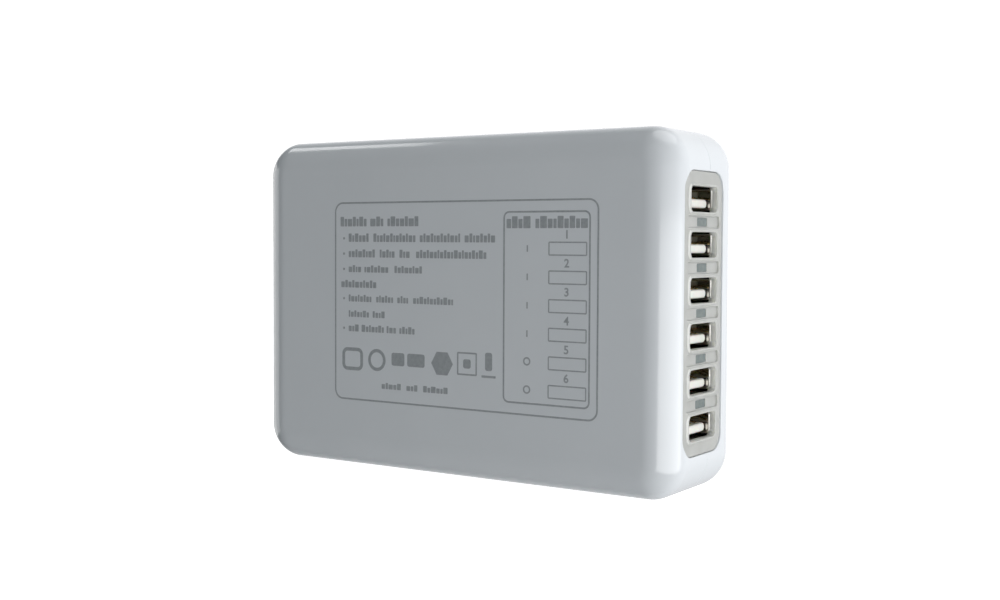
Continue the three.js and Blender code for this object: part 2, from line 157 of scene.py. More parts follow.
def add_object(name, bm):
    bmesh.ops.recalc_face_normals(bm, faces=bm.faces)
    mesh = bpy.data.meshes.new(name)
    bm.to_mesh(mesh)
    bm.free()
    piece = bpy.data.objects.new(name, mesh)
    bpy.context.scene.collection.objects.link(piece)
    return piece


def arc(centre, radius, start, end, steps):
    """Points of an arc between two angles in degrees, both ends included."""
    angles = [math.radians(start + (end - start) * i / steps) for i in range(steps + 1)]
    return [(centre[0] + radius * math.cos(a), centre[1] + radius * math.sin(a)) for a in angles]


def rounded_rect(width, height, radius, steps):
    """A rounded rectangle about the origin, anticlockwise from the lower right corner."""
    x = width / 2 - radius
    y = height / 2 - radius
    points = []
    for quarter, centre in enumerate([(x, -y), (x, y), (-x, y), (-x, -y)]):
        points += arc(centre, radius, 90 * quarter - 90, 90 * quarter, steps)
    return points


def rect_outline(wide, tall, corner):
    """A rounded rectangle as a function of how far it is grown."""
    return lambda grow: rounded_rect(wide + 2 * grow, tall + 2 * grow, corner + grow, 6)


def figure_eight(radius, spread, waist):
    """Two round lobes one above the other, joined by a straight waist."""
    lift = math.degrees(math.acos(waist / 2 / radius))
    upper = arc((0, spread / 2), radius, -lift, 180 + lift, 20)
    lower = arc((0, -spread / 2), radius, 180 - lift, 360 + lift, 20)
    return upper + lower


def along_x(points, x, y, z):
    """A flat outline (across Y, up Z) set at one place along X."""
    return [Vector((x, y + u, z + v)) for u, v in points]


def along_y(points, y, x, z):
    """A flat outline (across X, up Z) set at one place along Y."""
    return [Vector((x + u, y, z + v)) for u, v in points]


def box_middle(low, high):
    return (low + high) / 2


def shares(steps):
    """Shares of a length from nothing to the whole of it."""
    return [step / steps for step in range(steps + 1)]


def quarter_turns(steps):
    """Angles from nothing to a quarter turn, in radians."""
    return [math.pi / 2 * i / steps for i in range(steps + 1)]


def opened(radius, surface, steps, outward=1):
    """(growth, place) pairs of a section that opens out in a quarter round as it reaches a surface."""
    return [
        (radius * (1 - math.cos(t)), surface - outward * radius * (1 - math.sin(t)))
        for t in quarter_turns(steps)
    ]


def closed(radius, surface, steps):
    """(growth, place) pairs of a section that draws in by a quarter round as it reaches a surface."""
    return [(-growth, place) for growth, place in opened(radius, surface, steps)]


def started(radius, surface, steps, outward=1):
    """(growth, place) pairs of a section that grows by a quarter round to its full size from a surface."""
    return [
        (-radius * (1 - math.sin(t)), surface + outward * radius * (1 - math.cos(t)))
        for t in quarter_turns(steps)
    ]


def loft(name, rings, hollow=False):
    """Skins a row of outlines. A hollow one joins its last to its first, and the others are capped."""
    bm = bmesh.new()
    rows = [[bm.verts.new(point) for point in ring] for ring in rings]
    pairs = list(zip(rows, rows[1:]))
    if hollow:
        pairs.append((rows[-1], rows[0]))
    else:
        bm.faces.new(rows[0])
        bm.faces.new(rows[-1])
    for low, high in pairs:
        for i, corner in enumerate(low):
            following = (i + 1) % len(low)
            bm.faces.new((corner, low[following], high[following], high[i]))
    return add_object(name, bm)


def join(name, pieces):
    """One object from several that don't touch."""
    bm = bmesh.new()
    for piece in pieces:
        bm.from_mesh(piece.data)
        discard(piece)
    return add_object(name, bm)


def discard(piece):
    mesh = piece.data
    bpy.data.objects.remove(piece)
    bpy.data.meshes.remove(mesh)


def boolean(piece, other, operation):
    """Cuts the other object out of the piece, or joins it on, and uses it up."""
    modifier = piece.modifiers.new(operation, "BOOLEAN")
    modifier.object = other
    modifier.operation = operation
    modifier.solver = "EXACT"
    bpy.context.view_layer.update()
    evaluated = piece.evaluated_get(bpy.context.evaluated_depsgraph_get())
    result = bpy.data.meshes.new_from_object(evaluated)
    piece.modifiers.clear()
    old = piece.data
    piece.data = result
    result.name = piece.name
    bpy.data.meshes.remove(old)
    discard(other)
    return piece


def shade(piece, angle):
    """Smooth shading that breaks at edges sharper than an angle in degrees."""
    piece.data.shade_smooth()
    piece.data.set_sharp_from_angle(angle=math.radians(angle))


def smooth(piece, angle=SHARP_ANGLE):
    """Shades a piece smooth and keeps its large flat faces flat."""
    shade(piece, angle)
    weighted = piece.modifiers.new("weighted", "WEIGHTED_NORMAL")
    weighted.keep_sharp = True
    return piece


def soften(piece):
    """A small real bevel on the sharp edges, for a piece whose own mesh stays as it is."""
    bevel = piece.modifiers.new("soften", "BEVEL")
    bevel.width = SOFT_EDGE
    bevel.segments = 2
    bevel.limit_method = "ANGLE"
    bevel.angle_limit = math.radians(SHARP_ANGLE)
    bevel.harden_normals = False
    shade(piece, SHARP_ANGLE)


def finish_piece(piece, material, replaces=()):
    """Gives a new piece its material, hangs it on the root body and hides the CAD nodes that it stands for.
    """
    piece.data.materials.clear()
    piece.data.materials.append(material)
    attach(piece, "root")
    if replaces:
        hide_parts(*replaces)


# ======== Materials ========

def map_range(tree, source, limits):
    """A node that maps a value, with its limits as (from low, from high, to low, to high)."""
    ranged = tree.nodes.new("ShaderNodeMapRange")
    tree.links.new(source, ranged.inputs["Value"])
    for socket, value in zip(("From Min", "From Max", "To Min", "To Max"), limits):
        ranged.inputs[socket].default_value = value
    return ranged


class Recipe:
    """A material under construction: the principled shader and short ways to wire textures to it."""

    def __init__(self, name, color, roughness, metallic=0.0):
        self.material = bpy.data.materials.new(name)
        self.material.use_nodes = True
        self.tree = self.material.node_tree
        self.shader = self.tree.nodes["Principled BSDF"]
        self.color = (*color, 1)
        self.roughness = roughness
        self.set("Base Color", self.color)
        self.set("Roughness", roughness)
        self.set("Metallic", metallic)
        self.place = self.node("ShaderNodeTexCoord").outputs["Object"]

    def set(self, socket, value):
        self.shader.inputs[socket].default_value = value
        return self

    def node(self, kind, **values):
        node = self.tree.nodes.new(kind)
        for key, value in values.items():
            setattr(node, key, value)
        return node

    def link(self, source, target):
        self.tree.links.new(source, target)

    def stretch(self, scale):
        """Object coordinates scaled differently along each axis."""
        mapping = self.node("ShaderNodeMapping")
        mapping.inputs["Scale"].default_value = scale
        self.link(self.place, mapping.inputs["Vector"])
        return mapping.outputs["Vector"]

    def noise(self, scale, detail, place=None):
        noise = self.node("ShaderNodeTexNoise")
        noise.inputs["Scale"].default_value = scale
        noise.inputs["Detail"].default_value = detail
        self.link(place or self.place, noise.inputs["Vector"])
        return noise.outputs["Fac"]

    def vary_roughness(self, source, amount):
        ranged = map_range(self.tree, source, (0.3, 0.7, self.roughness - amount, self.roughness + amount))
        self.link(ranged.outputs["Result"], self.shader.inputs["Roughness"])

    def mix_color(self, source, other, base=None, start=0.3, end=0.7):
        """Wires to the base colour a mix that goes from the base to another colour with a texture."""
        mix = self.node("ShaderNodeMix", data_type="RGBA")
        self.link(map_range(self.tree, source, (start, end, 0, 1)).outputs["Result"], mix.inputs["Factor"])
        if base is None:
            mix.inputs["A"].default_value = self.color
        else:
            self.link(base, mix.inputs["A"])
        mix.inputs["B"].default_value = (*other, 1)
        self.link(mix.outputs["Result"], self.shader.inputs["Base Color"])
        return mix.outputs["Result"]

    def bump(self, source, strength, distance):
        bump = self.node("ShaderNodeBump")
        bump.inputs["Strength"].default_value = strength
        bump.inputs["Distance"].default_value = distance
        self.link(source, bump.inputs["Height"])
        self.link(bump.outputs["Normal"], self.shader.inputs["Normal"])


def shaded(color, factor):
    return tuple(min(1.0, channel * factor) for channel in color)


def case_white():
    """Polished moulded plastic: a faint orange peel, soft smudges and a rare dark speck."""
    recipe = Recipe("case_white", (0.69, 0.715, 0.74), 0.16)
    cloud = recipe.noise(60, 2)
    tint = recipe.mix_color(cloud, (0.675, 0.70, 0.725))
    specks = recipe.node("ShaderNodeTexVoronoi")
    specks.inputs["Scale"].default_value = 47
    recipe.link(recipe.place, specks.inputs["Vector"])
    recipe.mix_color(specks.outputs["Distance"], (0.25, 0.24, 0.22), base=tint, start=0.012, end=0.006)
    recipe.vary_roughness(recipe.noise(140, 3), 0.03)
    recipe.bump(recipe.noise(420, 2), 0.06, 0.02 * MM)
    recipe.set("Coat Weight", 0.25).set("Coat Roughness", 0.05)
    return recipe.material


def print_grey():
    """Pad-printed ink: slightly uneven cover."""
    recipe = Recipe("print_grey", (0.31, 0.33, 0.345), 0.5)
    recipe.mix_color(recipe.noise(1500, 3), (0.37, 0.39, 0.405))
    recipe.bump(recipe.noise(4000, 2), 0.15, 0.01 * MM)
    return recipe.material


def panel_plastic(name, color):
    """Frosted light-grey plastic with light soaking through it."""
    recipe = Recipe(name, color, 0.3)
    recipe.mix_color(recipe.noise(220, 2), shaded(color, 0.88))
    recipe.bump(recipe.noise(2600, 2), 0.06, 0.01 * MM)
    recipe.set("Subsurface Weight", 0.8).set("Subsurface Scale", 1.6 * MM)
    recipe.set("Subsurface Radius", (1.0, 1.0, 0.9))
    return recipe.material


def socket_steel():
    """Bright plated sheet steel with fine drawing lines along the socket."""
    recipe = Recipe("socket_steel", (0.64, 0.63, 0.60), 0.34, 1.0)
    lines = recipe.noise(900, 3, recipe.stretch((0.05, 1, 1)))
    recipe.mix_color(lines, (0.56, 0.55, 0.52))
    recipe.vary_roughness(lines, 0.08)
    recipe.bump(lines, 0.08, 0.01 * MM)
    return recipe.material


def dull_steel(name, color, roughness):
    """The same steel in a darker copy: painted shade for the inside of the socket."""
    recipe = Recipe(name, color, roughness, 1.0)
    lines = recipe.noise(700, 3, recipe.stretch((0.08, 1, 1)))
    recipe.mix_color(lines, shaded(color, 0.82))
    recipe.vary_roughness(lines, 0.03)
    return recipe.material


def socket_plastic():
    recipe = Recipe("socket_plastic", (0.78, 0.78, 0.73), 0.38)
    recipe.mix_color(recipe.noise(500, 3), (0.74, 0.74, 0.69))
    recipe.bump(recipe.noise(2400, 2), 0.1, 0.01 * MM)
    recipe.set("Subsurface Weight", 0.15).set("Subsurface Scale", 0.8 * MM)
    return recipe.material


def contact_gold():
    """Gold flash over nickel, thin where plugs rub."""
    recipe = Recipe("contact_gold", (0.86, 0.66, 0.30), 0.25, 1.0)
    rubbed = recipe.noise(1800, 4, recipe.stretch((0.2, 1, 1)))
    recipe.mix_color(rubbed, (0.74, 0.68, 0.55), start=0.5, end=0.75)
    recipe.vary_roughness(recipe.noise(2500, 2), 0.08)
    return recipe.material


def smoked_pipe():
    recipe = Recipe("smoked_pipe", (0.20, 0.245, 0.235), 0.2)
    recipe.mix_color(recipe.noise(900, 2), (0.15, 0.19, 0.185))
    recipe.vary_roughness(recipe.noise(1500, 2), 0.05)
    recipe.set("Transmission Weight", 0.3).set("IOR", 1.49)
    return recipe.material


def led_resin():
    recipe = Recipe("led_resin", (0.90, 0.84, 0.48), 0.2)
    recipe.mix_color(recipe.noise(1200, 2), (0.95, 0.92, 0.72))
    recipe.set("Transmission Weight", 0.3)
    return recipe.material


def board_green():
    """Solder mask with buried copper tracks showing through as paler bands."""
    recipe = Recipe("board_green", (0.035, 0.20, 0.085), 0.35)
    tracks = recipe.node("ShaderNodeTexBrick")
    tracks.inputs["Scale"].default_value = 90
    tracks.inputs["Mortar Size"].default_value = 0.06
    recipe.link(recipe.stretch((1, 1, 1.4)), tracks.inputs["Vector"])
    recipe.mix_color(tracks.outputs["Fac"], (0.075, 0.30, 0.13), start=0, end=1)
    recipe.vary_roughness(recipe.noise(800, 3), 0.06)
    recipe.bump(tracks.outputs["Fac"], 0.4, 0.03 * MM)
    return recipe.material


def insulation_film():
    recipe = Recipe("insulation_film", (0.78, 0.80, 0.78), 0.3)
    recipe.mix_color(recipe.noise(120, 3), (0.70, 0.73, 0.71))
    recipe.bump(recipe.noise(90, 3), 0.3, 0.1 * MM)
    recipe.set("Transmission Weight", 0.3)
    return recipe.material


def black_plastic():
    """Fine-textured moulded black."""
    recipe = Recipe("black_plastic", (0.022, 0.022, 0.024), 0.42)
    recipe.mix_color(recipe.noise(300, 3), (0.034, 0.034, 0.036))
    recipe.vary_roughness(recipe.noise(900, 3), 0.08)
    recipe.bump(recipe.noise(3200, 3), 0.25, 0.02 * MM)
    return recipe.material


def pin_nickel():
    recipe = Recipe("pin_nickel", (0.80, 0.77, 0.71), 0.16, 1.0)
    rings = recipe.noise(1500, 2, recipe.stretch((1, 0.1, 0.1)))
    recipe.mix_color(rings, (0.70, 0.67, 0.61))
    recipe.vary_roughness(rings, 0.06)
    return recipe.material


def heatsink_aluminium():
    recipe = Recipe("heatsink_aluminium", (0.66, 0.67, 0.68), 0.38, 1.0)
    lines = recipe.noise(600, 3, recipe.stretch((1, 1, 0.05)))
    recipe.mix_color(lines, (0.55, 0.56, 0.57))
    recipe.vary_roughness(lines, 0.1)
    recipe.bump(lines, 0.15, 0.01 * MM)
    return recipe.material


def ferrite():
    recipe = Recipe("ferrite", (0.06, 0.06, 0.065), 0.65)
    recipe.mix_color(recipe.noise(900, 5), (0.115, 0.115, 0.12))
    recipe.bump(recipe.noise(1800, 4), 0.5, 0.05 * MM)
    return recipe.material


def wound(name, color, roughness, metallic, turns_per_metre, across):
    """Wire or tape in turns: ridges that follow each other along one axis."""
    recipe = Recipe(name, color, roughness, metallic)
    turns = recipe.node("ShaderNodeTexWave", bands_direction=across)
    turns.inputs["Scale"].default_value = turns_per_metre
    turns.inputs["Distortion"].default_value = 0.4
    recipe.link(recipe.place, turns.inputs["Vector"])
    recipe.mix_color(turns.outputs["Fac"], shaded(color, 0.55), start=0.45, end=0.05)
    recipe.vary_roughness(recipe.noise(1200, 3), 0.08)
    recipe.bump(turns.outputs["Fac"], 0.8, 0.12 * MM)
    return recipe.material


def copper_wire():
    return wound("copper_wire", (0.62, 0.26, 0.09), 0.28, 0.9, 330, "Y")


def transformer_tape():
    return wound("transformer_tape", (0.80, 0.60, 0.10), 0.4, 0.0, 60, "Y")


def dipped(name, color, roughness, ripple):
    """Moulded or dipped component bodies: a soft ripple and small colour shifts."""
    recipe = Recipe(name, color, roughness)
    recipe.mix_color(recipe.noise(250, 3), shaded(color, 0.8))
    recipe.vary_roughness(recipe.noise(700, 3), 0.06)
    recipe.bump(recipe.noise(350, 2), ripple, 0.05 * MM)
    return recipe.material


def screw_steel():
    recipe = Recipe("screw_steel", (0.58, 0.59, 0.60), 0.34, 1.0)
    recipe.mix_color(recipe.noise(900, 4), (0.47, 0.48, 0.50))
    recipe.vary_roughness(recipe.noise(1500, 3), 0.1)
    return recipe.material


MATERIALS = {
    "case_white": case_white(),
    "print_grey": print_grey(),
    "panel_translucent": panel_plastic("panel_translucent", (0.445, 0.45, 0.43)),
    "socket_steel": socket_steel(),
    "socket_plastic": socket_plastic(),
    "contact_gold": contact_gold(),
    "smoked_pipe": smoked_pipe(),
    "led_resin": led_resin(),
    "board_green": board_green(),
    "insulation_film": insulation_film(),
    "black_plastic": black_plastic(),
    "pin_nickel": pin_nickel(),
    "heatsink_aluminium": heatsink_aluminium(),
    "ferrite": ferrite(),
    "copper_wire": copper_wire(),
    "transformer_tape": transformer_tape(),
    "capacitor_sleeve": dipped("capacitor_sleeve", (0.03, 0.04, 0.07), 0.3, 0.1),
    "film_capacitor_yellow": dipped("film_capacitor_yellow", (0.72, 0.50, 0.06), 0.35, 0.1),
    "disc_capacitor_blue": dipped("disc_capacitor_blue", (0.03, 0.13, 0.42), 0.3, 0.5),
    "screw_steel": screw_steel(),
}
# The shell's inner faces: a darker copy of the steel, as painted shade.
SOCKET_INSIDE_PAINTED_SHADE = dull_steel("socket_inside_painted_shade", (0.43, 0.41, 0.36), 0.07)
# The springs: a darker copy still, as painted shade deep in the socket.
SOCKET_SPRING_PAINTED_SHADE = dull_steel("socket_spring_painted_shade", (0.20, 0.19, 0.165), 0.22)
# Painted light: the panel's hole walls and near rims take a paler copy of its plastic. It stands in for
# light gathering at the cut edges and lifts those faces out of their shade.
PANEL_EDGE_PAINTED_LIGHT = panel_plastic("panel_edge_painted_light", (0.64, 0.645, 0.62))


def dress_frame():
    """Each CAD node that stays in view gets its slot's material and small real bevels."""
    for part in frame["record"]["subparts"]:
        node = frame["nodes"][part["node"]]
        node.data.materials.clear()
        node.data.materials.append(MATERIALS[part["material_slot"]])
        soften(node)


# ======== The two covers ========

def case_ring(inset, y):
    """The case's outline at one place along Y, drawn in on every side by the inset."""
    outline = rounded_rect(WIDTH - 2 * inset, HEIGHT - 2 * inset, CORNER - inset, CORNER_STEPS)
    return along_y(outline, y, 0, MIDDLE_Z)


def face_edge(spread, radius):
    """(inset, depth) pairs from the flat face out to the side wall."""
    return [(spread * (1 - math.sin(t)), radius * (1 - math.cos(t))) for t in quarter_turns(EDGE_STEPS)]


def cover_profile(spread, radius, seam_step):
    """(inset, depth below the face) pairs down the outside, over the seam edge and back up the inside."""
    seam_depth = DEPTH / 2 - SEAM
    outside = face_edge(spread, radius)
    inside = [(WALL + inset, WALL + depth) for inset, depth in face_edge(spread - WALL, radius - WALL)]
    return outside + opened(SEAM_ROUND, seam_depth, 3) + seam_step + inside[::-1]


def front_cover():
    step = WALL - LIP_THICK - LIP_PLAY
    floor = DEPTH / 2 - LIP_REACH - LIP_PLAY
    seam_step = [(step, DEPTH / 2 - SEAM), (step, floor), (WALL, floor)]
    profile = cover_profile(FRONT_SPREAD, FRONT_ROUND, seam_step)
    return loft("front_cover_shell", [case_ring(inset, LOW.y + depth) for inset, depth in profile])


def back_cover():
    step = WALL - LIP_THICK
    reach = DEPTH / 2 + LIP_REACH
    seam_step = [(step, DEPTH / 2 - SEAM), (step, reach), (WALL, reach)]
    profile = cover_profile(BACK_ROUND, BACK_ROUND, seam_step)
    return loft("back_cover_shell", [case_ring(inset, HIGH.y - depth) for inset, depth in profile])


def flared_cutter(name, outline, inner, surface, outward, mouth, y, z, foot=0.0):
    """A cutter along X whose mouth opens out in a quarter round where it meets a surface.

    outline(grow) gives its section. Outward is 1 towards +X or -1 towards -X. Foot rounds its inner end.
    """
    profile = started(foot, inner, 5, outward) if foot else [(0, inner)]
    profile += opened(mouth, surface, 5, outward)
    profile.append((mouth, surface + outward * 2 * MM))
    return loft(name, [along_x(outline(grow), x, y, z) for grow, x in profile])


PANEL_LOW, PANEL_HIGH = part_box("socket_panel")
PANEL_Y = (PANEL_LOW.y + PANEL_HIGH.y) / 2
PANEL_WIDE = PANEL_HIGH.y - PANEL_LOW.y - 2 * PANEL_FLANGE
PANEL_TALL = PANEL_HIGH.z - PANEL_LOW.z - 2 * PANEL_FLANGE
INLET_LOW, INLET_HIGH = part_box("inlet_housing")
INLET_FLANGE = 0.9 * MM
INLET_Y = (INLET_LOW.y + INLET_HIGH.y) / 2
INLET_WIDE = INLET_HIGH.y - INLET_LOW.y - 2 * INLET_FLANGE
INLET_TALL = INLET_HIGH.z - INLET_LOW.z - 2 * INLET_FLANGE


def panel_outline(grow):
    return rounded_rect(PANEL_WIDE + 2 * grow, PANEL_TALL + 2 * grow, PANEL_CORNER + grow, 10)


def inlet_outline(grow):
    """Straight sides between two ends that are all but half circles."""
    wide = INLET_WIDE + 2 * grow
    return rounded_rect(wide, INLET_TALL + 2 * grow, wide / 2 - 0.01 * MM, 14)


def open_covers(cover):
    """Cuts the panel's window and the inlet's hole through a cover."""
    window = flared_cutter(
        "window", lambda grow: panel_outline(grow + WINDOW_PLAY),
        HIGH.x - 3 * WALL, HIGH.x, 1, RIM_ROUND, PANEL_Y, MIDDLE_Z,
    )
    hole = flared_cutter(
        "hole", lambda grow: inlet_outline(grow + WINDOW_PLAY),
        LOW.x + 3 * WALL, LOW.x, -1, RIM_ROUND, INLET_Y, MIDDLE_Z,
    )
    boolean(cover, window, "DIFFERENCE")
    return boolean(cover, hole, "DIFFERENCE")


def make_covers():
    for cover, node in ((front_cover(), "front_cover"), (back_cover(), "back_cover")):
        smooth(open_covers(cover))
        finish_piece(cover, MATERIALS["case_white"], [node])


# ======== The socket panel ========

SHELL_SPANS = [(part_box(f"usb_shell_{i}")[0].z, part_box(f"usb_shell_{i}")[1].z) for i in SOCKETS]
SHELL_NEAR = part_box("usb_shell_1")[0].y


def socket_window(i):
    """The size and the middle of the opening that the panel's face leaves in front of a socket."""
    low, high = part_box(f"usb_shell_{i}")
    size = high - low
    return size.y - 2 * HOLE_LAP, size.z - 2 * HOLE_LAP, box_middle(low, high)


def socket_hole(i):
    """The cutter for one socket: clear of the shell, stepped in over its rim, then rounded outwards."""
    wide, tall, middle = socket_window(i)
    outline = rect_outline(wide, tall, HOLE_CORNER)
    room = HOLE_LAP + HOLE_PLAY
    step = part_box(f"usb_shell_{i}")[1].x + HOLE_GAP
    surface = PANEL_HIGH.x + BEAD_PROUD
    profile = [(room, PANEL_LOW.x - MM), (room, step), (0, step)]
    profile += opened(HOLE_ROUND, surface, 5)
    profile.append((HOLE_ROUND, surface + MM))
    rings = [along_x(outline(grow), x, middle.y, middle.z) for grow, x in profile]
    return loft(f"socket_hole_{i}", rings)


def panel_groove(i):
    """A shallow trough across the panel, with the light pipe in the middle of its floor."""
    middle = box_middle(*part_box(f"light_pipe_{i}"))
    outline = rect_outline(GROOVE_WIDE, GROOVE_TALL, GROOVE_CORNER)
    floor = PANEL_HIGH.x - GROOVE_DEEP
    return flared_cutter(
        f"groove_{i}", outline, floor, PANEL_HIGH.x, 1, GROOVE_ROUND, middle.y, middle.z, GROOVE_ROUND,
    )


def panel_bead(i):
    """The low rim round a socket, as a plug with a rounded shoulder that the hole is then cut through."""
    wide, tall, middle = socket_window(i)
    profile = [(BEAD_WIDE, PANEL_HIGH.x - BEAD_PROUD)]
    profile += [
        (BEAD_WIDE * (0.5 + 0.5 * math.cos(t)), PANEL_HIGH.x + BEAD_PROUD * math.sin(t))
        for t in quarter_turns(6)
    ]
    rings = []
    for grow, x in profile:
        outline = rounded_rect(wide + 2 * BEAD_SIDE * grow, tall + 2 * grow, HOLE_CORNER + grow, 6)
        rings.append(along_x(outline, x, middle.y, middle.z))
    return loft(f"bead_{i}", rings)


def pipe_hole(i):
    low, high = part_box(f"light_pipe_{i}")
    size, middle = high - low, box_middle(low, high)
    outline = rounded_rect(size.y + PIPE_PLAY, size.z + PIPE_PLAY, PIPE_CORNER, 6)
    ends = (PANEL_LOW.x - MM, PANEL_HIGH.x)
    return loft(f"pipe_hole_{i}", [along_x(outline, x, middle.y, middle.z) for x in ends])


def make_panel():
    profile = [(PANEL_FLANGE, PANEL_LOW.x), (PANEL_FLANGE, FLANGE_FRONT), (0, FLANGE_FRONT)]
    profile += closed(PANEL_ROUND, PANEL_HIGH.x, 6)
    rings = [along_x(panel_outline(grow), x, PANEL_Y, MIDDLE_Z) for grow, x in profile]
    panel = loft("socket_panel_face", rings)
    boolean(panel, join("beads", [panel_bead(i) for i in SOCKETS]), "UNION")
    boolean(panel, join("socket_holes", [socket_hole(i) for i in SOCKETS]), "DIFFERENCE")
    boolean(panel, join("grooves", [panel_groove(i) for i in PIPES]), "DIFFERENCE")
    boolean(panel, join("pipe_holes", [pipe_hole(i) for i in PIPES]), "DIFFERENCE")
    smooth(panel)
    finish_piece(panel, MATERIALS["panel_translucent"], ["socket_panel"])
    # The second slot is the paler copy: painted light on the hole walls and near rims.
    panel.data.materials.append(PANEL_EDGE_PAINTED_LIGHT)
    for face in panel.data.polygons:
        face.material_index = 1 if lit_edge(face) else 0


def lit_edge(face):
    """Whether a face of the panel is a wall of a socket's hole, or the printed side of its rim: the faces
    that get the paler copy as painted light.
    """
    place = face.center
    at_socket = any(low - BEAD_WIDE < place.z < high + BEAD_WIDE for low, high in SHELL_SPANS)
    across = abs(place.y - PANEL_Y) < PANEL_WIDE / 2 - MM
    wall = abs(face.normal.x) < WALL_FACING and place.x < PANEL_HIGH.x
    near_rim = place.x > PANEL_HIGH.x and place.y < SHELL_NEAR + HOLE_LAP
    return at_socket and across and (wall or near_rim)


# ======== The sockets ========

def socket_ring(size, middle, inset, x):
    corner = max(SHELL_CORNER - inset, SHELL_CORNER_LEAST)
    outline = rounded_rect(size.y - 2 * inset, size.z - 2 * inset, corner, 6)
    return along_x(outline, x, middle.y, middle.z)


def shell_profile(back, front):
    """(inset, x) pairs: along the outside, round the thin lip, and in through the flared mouth."""
    roll = SHELL_LIP / 2
    turns = [math.pi * k / 6 for k in range(7)]
    lip = [(roll * (1 - math.cos(t)), front - roll * (1 - math.sin(t))) for t in turns]
    mouth = [
        (SHELL_LIP + (SHELL_WALL - SHELL_LIP) * math.sin(t), front - roll - SHELL_FLARE * (1 - math.cos(t)))
        for t in quarter_turns(6)[1:]
    ]
    return [(0, back), *lip, *mouth, (SHELL_WALL, back)]


def make_shell(i):
    """A drawn steel tube with a flared mouth. Its inner faces carry a darker copy of the steel, as painted
    shade.
    """
    low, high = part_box(f"usb_shell_{i}")
    size, middle = high - low, box_middle(low, high)
    rings = [socket_ring(size, middle, *step) for step in shell_profile(low.x, high.x)]
    shell = loft(f"usb_shell_{i}_steel", rings, hollow=True)
    finish_piece(shell, MATERIALS["socket_steel"], [f"usb_shell_{i}"])
    # The second slot is the darker steel: painted shade on the inner faces.
    shell.data.materials.append(SOCKET_INSIDE_PAINTED_SHADE)
    for face in shell.data.polygons:
        reach = face.center - middle
        inward = reach.y * face.normal.y + reach.z * face.normal.z < 0
        deep = face.center.x < high.x - SHELL_FLARE
        face.material_index = 1 if inward and deep else 0
    smooth(shell, SHELL_SHARP)


def make_springs(i):
    """The two side springs, pressed out of the shell's ends beside the tongue."""
    low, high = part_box(f"usb_shell_{i}")
    middle = box_middle(low, high)
    wall = (high.y - low.y) / 2 - SHELL_WALL - SPRING_THICK / 2
    back, front = (high.x - depth for depth in SPRING_SPAN)
    section = rounded_rect(SPRING_THICK, SPRING_TALL, STRIP_CORNER, 2)
    springs = []
    for side in (-1, 1):
        rings = []
        for share in shares(SPRING_STEPS):
            climb = min(share / SPRING_CREST, (1 - share) / (1 - SPRING_CREST))
            offset = wall - SPRING_BOW * math.sin(math.pi / 2 * climb) ** 2
            place = back + (front - back) * share
            rings.append(along_x(section, place, middle.y + side * offset, middle.z - TONGUE_DROP))
        springs.append(loft("spring", rings))
    pair = smooth(join(f"usb_springs_{i}", springs), SMALL_SHARP)
    # A darker copy of the steel: painted shade on the springs.
    finish_piece(pair, SOCKET_SPRING_PAINTED_SHADE)


def make_carrier(i):
    """The white moulding: a block at the back, and the tongue with its soft edges."""
    low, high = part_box(f"usb_insulator_{i}")
    middle = box_middle(*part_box(f"usb_shell_{i}"))
    size = high - low
    section = rounded_rect(size.y, size.z, CARRIER_CORNER, 4)
    ends = (low.x, low.x + CARRIER_DEEP)
    block = loft(f"usb_carrier_{i}", [along_x(section, x, middle.y, middle.z) for x in ends])
    boolean(block, make_tongue(low.x + CARRIER_DEEP / 2, high.x, middle), "UNION")
    smooth(block, SMALL_SHARP)
    finish_piece(block, MATERIALS["socket_plastic"], [f"usb_insulator_{i}"])


def make_tongue(back, front, middle):
    outline = rect_outline(TONGUE_WIDE, TONGUE_THICK, TONGUE_CORNER)
    profile = [(0, back), *closed(TONGUE_ROUND, front, 5)]
    height = middle.z - TONGUE_DROP
    return loft("tongue", [along_x(outline(grow), x, middle.y, height) for grow, x in profile])


def make_contacts(i):
    """Four sprung strips on top of the tongue: flat at the back, bowed up, then tucked into the tip."""
    low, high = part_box(f"usb_insulator_{i}")
    middle = box_middle(*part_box(f"usb_shell_{i}"))
    top = middle.z - TONGUE_DROP + TONGUE_THICK / 2
    start = low.x + CARRIER_DEEP - CONTACT_ROOT
    end = high.x - CONTACT_SHORT
    section = rounded_rect(CONTACT_WIDE, CONTACT_THICK, STRIP_CORNER, 2)
    for k, offset in enumerate(CONTACT_OFFSETS, 1):
        rings = []
        for share in shares(CONTACT_STEPS):
            bow = CONTACT_BOW * math.exp(-(((share - CONTACT_CREST) / CONTACT_SPREAD) ** 2))
            tuck = -CONTACT_TUCK if share > CONTACT_END else 0.0
            lift = top + CONTACT_THICK / 2 + bow + tuck
            rings.append(along_x(section, start + (end - start) * share, middle.y + offset, lift))
        contact = smooth(loft(f"usb_contact_{i}_{k}", rings), SMALL_SHARP)
        finish_piece(contact, MATERIALS["contact_gold"])


def make_sockets():
    for i in SOCKETS:
        make_shell(i)
        make_springs(i)
        make_carrier(i)
        make_contacts(i)


# ======== The mains inlet ========

LOBE = 4.1 * MM
LOBE_SPREAD = 8.6 * MM
WAIST = 6.2 * MM
INLET_DEEP = 12.5 * MM
INLET_ROUND = 0.3 * MM
CAVITY_ROUND = 0.35 * MM
INLET_FLANGE_BAND = (-51.9 * MM, -50.4 * MM)
PIN_SIDES = 32


